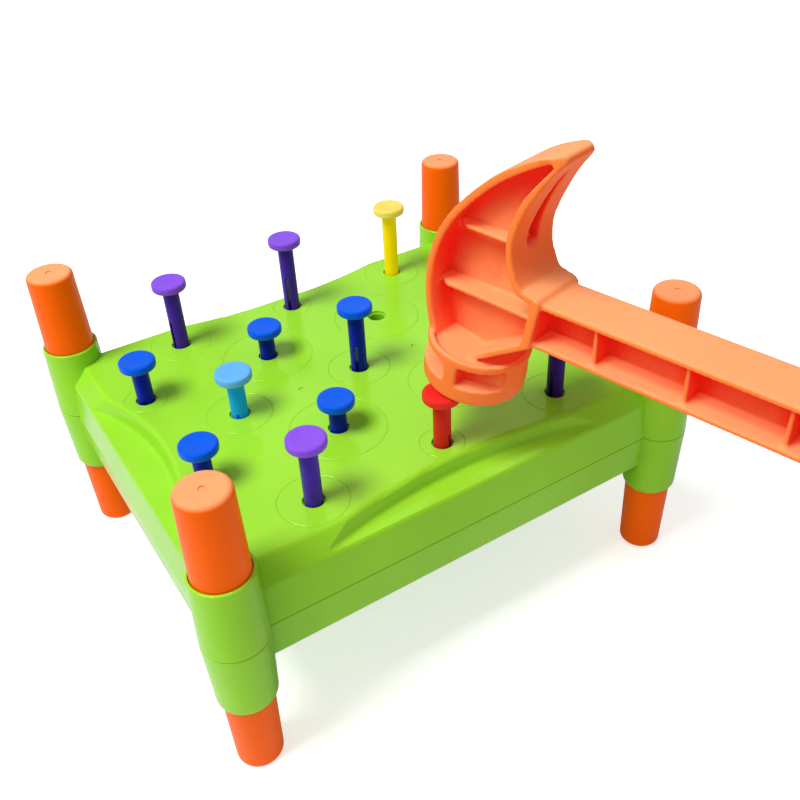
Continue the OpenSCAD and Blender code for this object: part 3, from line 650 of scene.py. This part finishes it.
# %% Sizes and seats of the screws
HEAD_RADIUS = 3 * MM
SHANK_RADIUS = 1.5 * MM
HEAD_HEIGHT = 2 * MM
HEAD_SIDES, SHANK_SIDES = 48, 32
RECESS_REACH = 1.3  # length of the bar that cuts the recess, in head radii
low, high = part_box("shell_screws")
length = high.z - low.z
boss_x = (high.x - HEAD_RADIUS, (high.x - HEAD_RADIUS) / 2)
boss_y = high.y - HEAD_RADIUS
seats = [(-boss_x[1], 0), (boss_x[1], 0)]
seats += [(x, y) for x in (-boss_x[0], boss_x[0]) for y in (-boss_y, boss_y)]
print("screws:", len(seats), "of", round(length / MM, 1), "mm")

# %% [markdown]
# ## One screw
# The tree takes the sizes of the recess, a seed and the steel as named inputs.
# A bar and its quarter turn cut a cross out of a short, wide cylinder, which is
# the head, and a long, thin one stands on it as the shank.

# %% The screw's nodes
group = bpy.data.node_groups.new("Screws on points", "GeometryNodeTree")
group.interface.new_socket(name="Geometry", in_out="INPUT", socket_type="NodeSocketGeometry")
inputs = {"Recess width": "Float", "Recess depth": "Float", "Seed": "Int", "Steel": "Material"}
for name, kind in inputs.items():
    group.interface.new_socket(name=name, in_out="INPUT", socket_type="NodeSocket" + kind)
group.interface.new_socket(name="Geometry", in_out="OUTPUT", socket_type="NodeSocketGeometry")
given = add_node(group, "NodeGroupInput").outputs
head = add_node(
    group, "GeometryNodeMeshCylinder", {"Vertices": HEAD_SIDES, "Radius": HEAD_RADIUS, "Depth": HEAD_HEIGHT})
head_up = add_node(
    group, "GeometryNodeTransform", {"Translation": (0, 0, HEAD_HEIGHT / 2)},
    {"Geometry": head.outputs["Mesh"]})
arm = add_node(
    group, "ShaderNodeCombineXYZ", {"X": RECESS_REACH * HEAD_RADIUS},
    {"Y": given["Recess width"], "Z": given["Recess depth"]})
bar = add_node(group, "GeometryNodeMeshCube", None, {"Size": arm.outputs["Vector"]})
turned = add_node(
    group, "GeometryNodeTransform", {"Rotation": (0, 0, math.pi / 2)}, {"Geometry": bar.outputs["Mesh"]})
cut = add_node(
    group, "GeometryNodeMeshBoolean", None, {"Mesh 1": head_up.outputs["Geometry"]}, operation="DIFFERENCE")
for cutter in (bar.outputs["Mesh"], turned.outputs["Geometry"]):
    group.links.new(cutter, cut.inputs["Mesh 2"])
shank = add_node(
    group, "GeometryNodeMeshCylinder",
    {"Vertices": SHANK_SIDES, "Radius": SHANK_RADIUS, "Depth": length - HEAD_HEIGHT})
shank_up = add_node(
    group, "GeometryNodeTransform", {"Translation": (0, 0, HEAD_HEIGHT + (length - HEAD_HEIGHT) / 2)},
    {"Geometry": shank.outputs["Mesh"]})
screw = add_node(group, "GeometryNodeJoinGeometry")
for part in (cut.outputs["Mesh"], shank_up.outputs["Geometry"]):
    group.links.new(part, screw.inputs["Geometry"])
print("nodes for one screw:", len(group.nodes))

# %% [markdown]
# ## Six screws
# The screw goes on every seat, turned by a random angle with a fixed seed. An
# export drops instances, so they are made real at the end, and get their steel
# there. Inputs of the modifier are set by identifier before it first runs.

# %% The spread
angle = add_node(
    group, "FunctionNodeRandomValue", {"Min": (0, 0, 0), "Max": (0, 0, math.pi)}, {"Seed": given["Seed"]},
    data_type="FLOAT_VECTOR")
spread = add_node(
    group, "GeometryNodeInstanceOnPoints", None,
    {"Points": given["Geometry"], "Instance": screw.outputs["Geometry"], "Rotation": angle.outputs["Value"]})
real = add_node(group, "GeometryNodeRealizeInstances", None, {"Geometry": spread.outputs["Instances"]})
plated = add_node(
    group, "GeometryNodeSetMaterial", None,
    {"Geometry": real.outputs["Geometry"], "Material": given["Steel"]})
add_node(group, "NodeGroupOutput", None, {"Geometry": plated.outputs["Geometry"]})
print("nodes in the tree:", len(group.nodes))

# %% Screws on their seats
seat_mesh = bpy.data.meshes.new("shell_screws_made")
seat_mesh.from_pydata([(x, y, low.z) for x, y in seats], [], [])
screws = bpy.data.objects.new("shell_screws_made", seat_mesh)
bpy.context.scene.collection.objects.link(screws)
maker = screws.modifiers.new("Screws", "NODES")
maker.node_group = group
settings = {"Recess width": 0.9 * MM, "Recess depth": 2.4 * MM, "Seed": 7, "Steel": steel}
for item in group.interface.items_tree:
    if item.name in settings:
        maker[item.identifier] = settings[item.name]
settle(screws)
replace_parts(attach(screws, "bench"), "shell_screws")
print("screw faces:", len(screws.data.polygons))

# %% [markdown]
# ## Floor and room
# The picture is a product shot on white paper. The floor is a matt white sheet
# that keeps the toy's soft shadow. A little light of its own, which only the
# camera sees, lifts it to the white of the room behind it. The room lights
# the scene dimly from all sides, while the camera sees it as pure white.

# %% Floor
HALF_FLOOR = 4
FLOOR_GLOW = 0.6
PAPER_CLOUD = 3 * MM  # fibres clump into faint clouds, and matt paper shows no reflection
corners = [(x * HALF_FLOOR, y * HALF_FLOOR, 0) for x, y in ((-1, -1), (1, -1), (1, 1), (-1, 1))]
floor_mesh = bpy.data.meshes.new("floor")
floor_mesh.from_pydata(corners, [], [(0, 1, 2, 3)])
floor = bpy.data.objects.new("floor", floor_mesh)
bpy.context.scene.collection.objects.link(floor)
paper = bpy.data.materials.new("White paper, matt")
paper.use_nodes = True
tree = paper.node_tree
tree.nodes.clear()
place = add_node(tree, "ShaderNodeTexCoord").outputs["Object"]
fibre = add_node(tree, "ShaderNodeTexNoise", {"Scale": 1 / PAPER_CLOUD, "Detail": 3}, {"Vector": place})
sheet = add_node(
    tree, "ShaderNodeMix", {MIX_A: linear("#F4F4F3"), MIX_B: linear("#F8F8F7")},
    {MIX_SHARE: fibre.outputs["Fac"]}, data_type="RGBA")
skin = add_node(tree, "ShaderNodeBsdfDiffuse", None, {"Color": sheet.outputs[MIX_RESULT]})
ray = add_node(tree, "ShaderNodeLightPath")
strength = add_node(
    tree, "ShaderNodeMath", {1: FLOOR_GLOW}, {0: ray.outputs["Is Camera Ray"]}, operation="MULTIPLY")
glow = add_node(tree, "ShaderNodeEmission", None, {"Strength": strength.outputs[0]})
both = add_node(tree, "ShaderNodeAddShader", None, {0: skin.outputs[0], 1: glow.outputs[0]})
add_node(tree, "ShaderNodeOutputMaterial", links={"Surface": both.outputs[0]})
floor_mesh.materials.append(paper)
floor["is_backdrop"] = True
print("floor:", 2 * HALF_FLOOR, "m wide")

# %% Room
AMBIENT = 0.33
world = bpy.data.worlds.new("White room")
bpy.context.scene.world = world
world.use_nodes = True
tree = world.node_tree
tree.nodes.clear()
ray = add_node(tree, "ShaderNodeLightPath")
strength = add_node(
    tree, "ShaderNodeMapRange", {"To Min": AMBIENT, "To Max": 1}, {"Value": ray.outputs["Is Camera Ray"]})
back = add_node(tree, "ShaderNodeBackground", {"Color": (1, 1, 1, 1)}, {"Strength": strength.outputs[0]})
add_node(tree, "ShaderNodeOutputWorld", links={"Surface": back.outputs[0]})
print("ambient light:", AMBIENT)

# %% [markdown]
# ## Lamps
# The key light is a softbox high up on the left. It makes the plate and the left
# end bright, leaves the long front wall mostly to the dim light of the room, and
# casts the shadows of rims and ribs into the hammer's pockets. A second one, far
# weaker, stands behind the toy and adds a faint sheen to plate and nail heads.

# %% Softboxes
def softbox(name, place, target, size, power):
    """A square area lamp that faces a target."""
    lamp = bpy.data.lights.new(name, "AREA")
    lamp.energy = power
    lamp.size = size
    box = bpy.data.objects.new(name, lamp)
    box.location = place
    box.rotation_euler = (Vector(target) - Vector(place)).to_track_quat("-Z", "Y").to_euler()
    bpy.context.scene.collection.objects.link(box)
    return box


BENCH_MIDDLE = (0, 0, 0.1)
softbox("key", place=(-0.93, 0.02, 1.75), target=BENCH_MIDDLE, size=0.75, power=29)
softbox("rear", place=(0.75, 1.25, 1.35), target=BENCH_MIDDLE, size=0.8, power=1.5)

# %% [markdown]
# ## Camera
# The view was measured from the photograph: straight edges, the four legs and
# the staggered holes fix the eye's place and the lens together.

# %% Camera
EYE = Vector((-0.2005151, -0.3790457, 0.4140415))
YAW, DIP, ROLL = 1.0052, 0.6411, 0.0346
LENS, SENSOR = 41.324, 36  # mm
FRAMING_SHIFT = -0.02559
NEAREST = 0.01

camera = bpy.data.cameras.new("camera")
camera.lens = LENS
camera.sensor_width = SENSOR
camera.shift_x = FRAMING_SHIFT
camera.clip_start = NEAREST
eye = bpy.data.objects.new("camera", camera)
bpy.context.scene.collection.objects.link(eye)
ahead = Vector((math.cos(YAW) * math.cos(DIP), math.sin(YAW) * math.cos(DIP), -math.sin(DIP)))
level = Vector((math.sin(YAW), -math.cos(YAW), 0))
drop = ahead.cross(level)
right = math.cos(ROLL) * level + math.sin(ROLL) * drop
down = math.cos(ROLL) * drop - math.sin(ROLL) * level
eye.matrix_world = Matrix.Translation(EYE) @ Matrix((right, -down, -ahead)).transposed().to_4x4()
bpy.context.scene.camera = eye
bpy.context.scene.view_settings.view_transform = "Standard"
print("camera height in mm:", round(EYE.z / MM))

# %% Sizes
low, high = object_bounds()
print("dressed box in mm:", [round(x / MM) for x in high - low])
